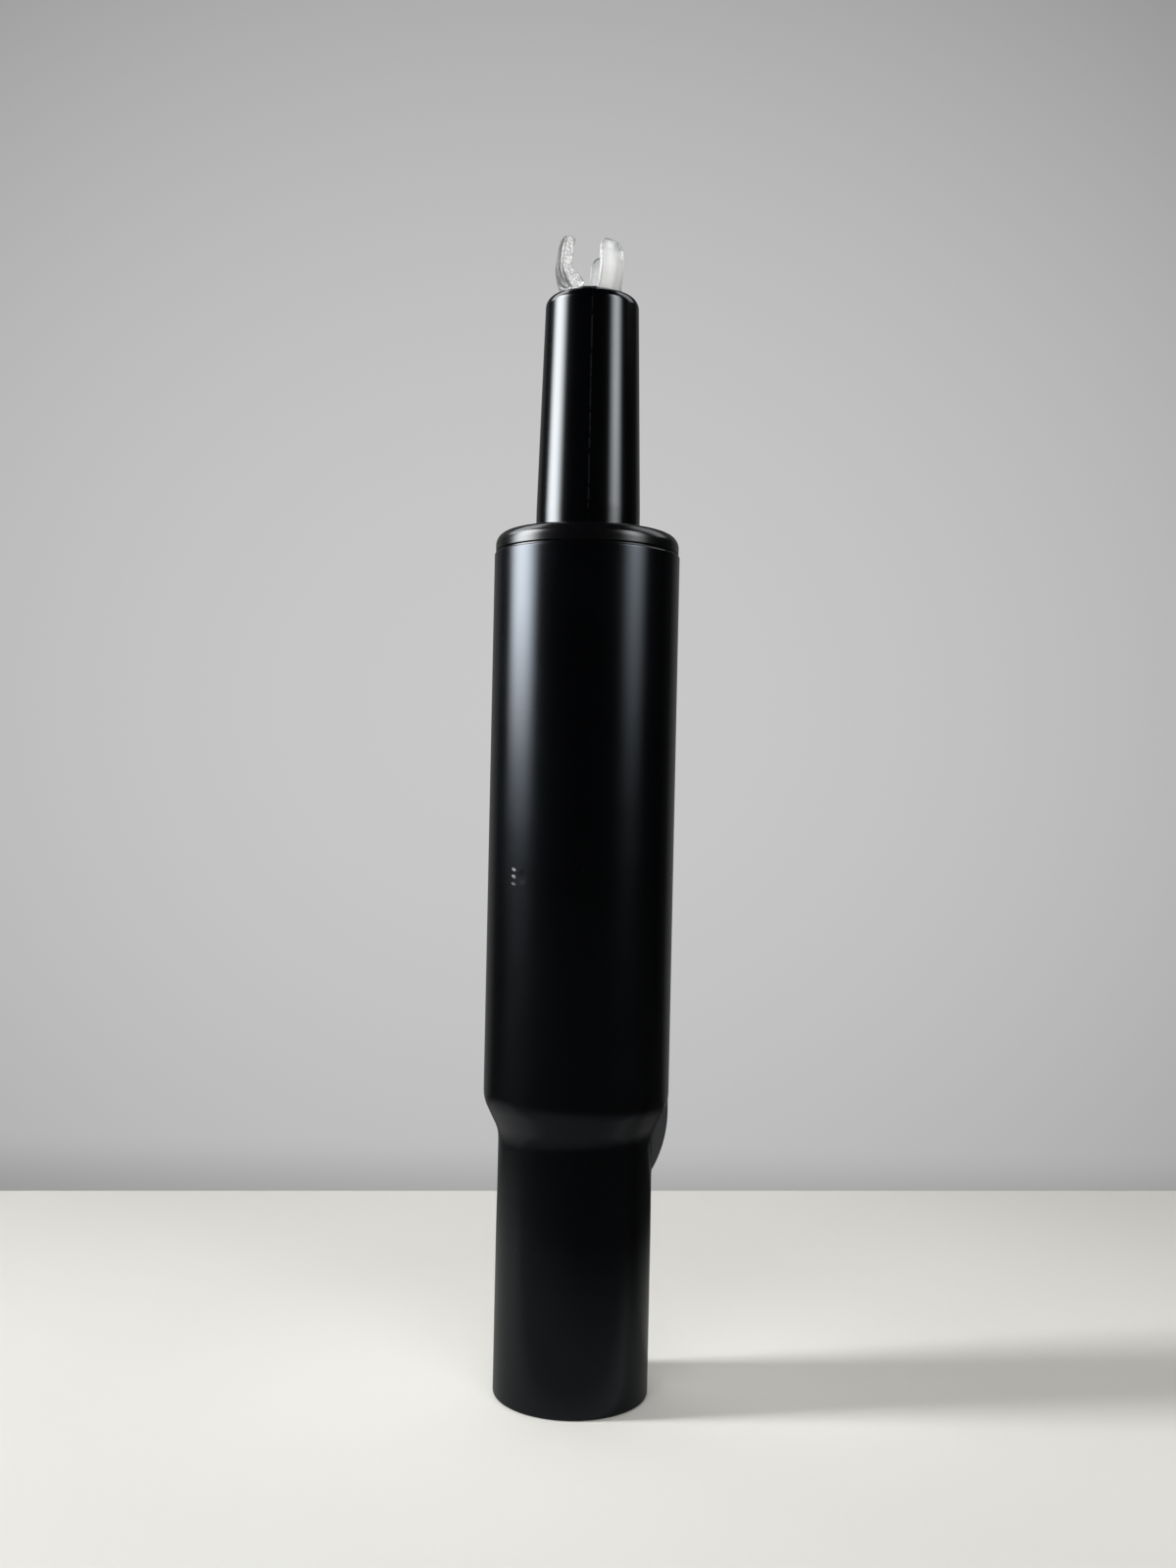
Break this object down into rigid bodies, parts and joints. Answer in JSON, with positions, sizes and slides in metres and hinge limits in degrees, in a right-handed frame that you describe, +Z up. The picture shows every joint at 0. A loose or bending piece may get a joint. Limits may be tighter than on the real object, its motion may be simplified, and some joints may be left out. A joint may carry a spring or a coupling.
{
  "type": "chair gas lift cylinder",
  "caption": "Black chair gas lift: stepped column for the chair base, guide collar, tapered pressure tube for the seat and a clear guard round the release button.",
  "frame": {"origin": "on the axis, at the foot that the column stands on", "axes": "+Z up along the axis, -Y the front as pictured, +X to the right"},
  "size_m": [0.05, 0.05, 0.3118],
  "materials": {
    "column_paint": "satin black baked paint on steel tube",
    "tube_gloss": "smooth glossy black coating on steel tube",
    "sleeve_moulding": "black moulded acetal, satin",
    "zinc_plate": "zinc-plated pressed steel",
    "bearing_steel": "hardened bearing steel, ground",
    "rod_chrome": "hard chrome, polished",
    "brass": "turned brass",
    "black_rubber": "black nitrile rubber, matte",
    "alloy": "drawn and turned aluminium",
    "white_moulding": "natural white acetal",
    "pin_steel": "turned steel",
    "clear_moulding": "clear plastic, frosted on its cut faces"
  },
  "bodies": {
    "column": {"column_tube": "column_paint", "shoulder_key": "column_paint", "guide_sleeve": "sleeve_moulding", "base_cup": "zinc_plate", "lower_race": "bearing_steel"},
    "bearing": {"ball_cage": "brass", "bearing_balls": "bearing_steel"},
    "rod": {"upper_race": "bearing_steel", "buffer_washer": "zinc_plate", "bump_stop": "black_rubber", "rod_washer": "zinc_plate", "rod_clip": "zinc_plate", "piston_rod": "rod_chrome", "piston": "alloy", "piston_ring": "black_rubber", "piston_washer": "zinc_plate", "piston_nut": "zinc_plate"},
    "cylinder": {"pressure_tube": "tube_gloss", "end_ring": "zinc_plate", "rod_guide": "white_moulding", "seal_washer": "zinc_plate", "rod_seal": "black_rubber", "stop_bush": "white_moulding", "inner_cylinder": "alloy", "valve_seat": "brass", "valve_body": "white_moulding", "flange_seal": "black_rubber", "pin_seal": "black_rubber", "tip_seal": "black_rubber"},
    "release": {"release_pin": "pin_steel", "release_button": "pin_steel"},
    "guard": {"button_guard": "clear_moulding"}
  },
  "joints": [
    {"name": "swivel", "type": "hinge", "parent": "column", "child": "rod", "pos_m": [0, 0, 0.016], "axis": [0, 0, 1], "continuous": true},
    {"name": "cage_turn", "type": "hinge", "parent": "column", "child": "bearing", "pos_m": [0, 0, 0.016], "axis": [0, 0, 1], "continuous": true},
    {"name": "lift", "type": "slide", "parent": "rod", "child": "cylinder", "axis": [0, 0, 1], "range_m": [0, 0.115]},
    {"name": "release", "type": "slide", "parent": "cylinder", "child": "release", "axis": [0, 0, -1], "range_m": [0, 0.0022], "stiffness_N_per_m": 1500, "springref_m": -0.002},
    {"name": "guard_pull", "type": "slide", "parent": "cylinder", "child": "guard", "axis": [0, 0, 1], "range_m": [0, 0.03]}
  ],
  "couplings": [
    {"joint": "cage_turn", "follows": "swivel", "ratio": 0.5}
  ]
}
